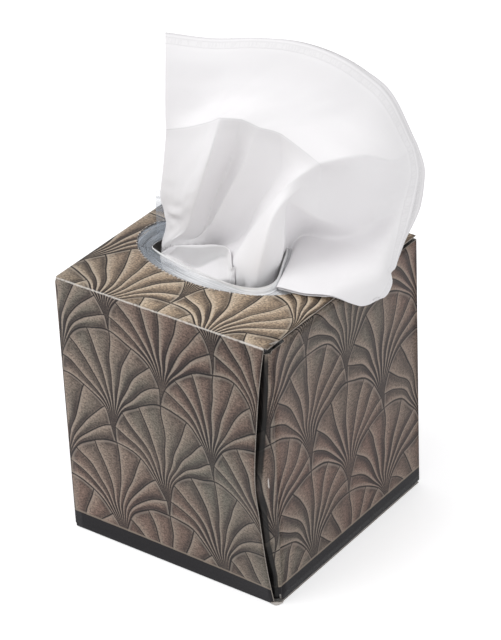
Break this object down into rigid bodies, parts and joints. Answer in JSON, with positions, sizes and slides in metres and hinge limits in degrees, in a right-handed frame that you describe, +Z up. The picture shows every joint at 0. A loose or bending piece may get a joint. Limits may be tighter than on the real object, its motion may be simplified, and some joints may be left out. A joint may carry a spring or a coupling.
{
  "type": "tissue_box",
  "caption": "Upright square carton of paper tissues with an oval opening in its top, a slit film window and one tissue pulled up and draped over the right edge.",
  "frame": {"origin": "centre of the carton's base, on the plane it stands on", "axes": "+Z up, -Y out of the front wall, +X out of the wall that the pulled tissue hangs towards"},
  "size_m": [0.1158, 0.1186, 0.225],
  "materials": {
    "board": "printed, semi-matte",
    "film": "clear, glossy",
    "tissue": "soft, matte"
  },
  "bodies": {
    "root": {"carton": "board", "film_window": "film", "tissue_stack": "tissue", "next_tissue": "tissue", "front_ply": "tissue", "rear_ply": "tissue"}
  },
  "joints": []
}
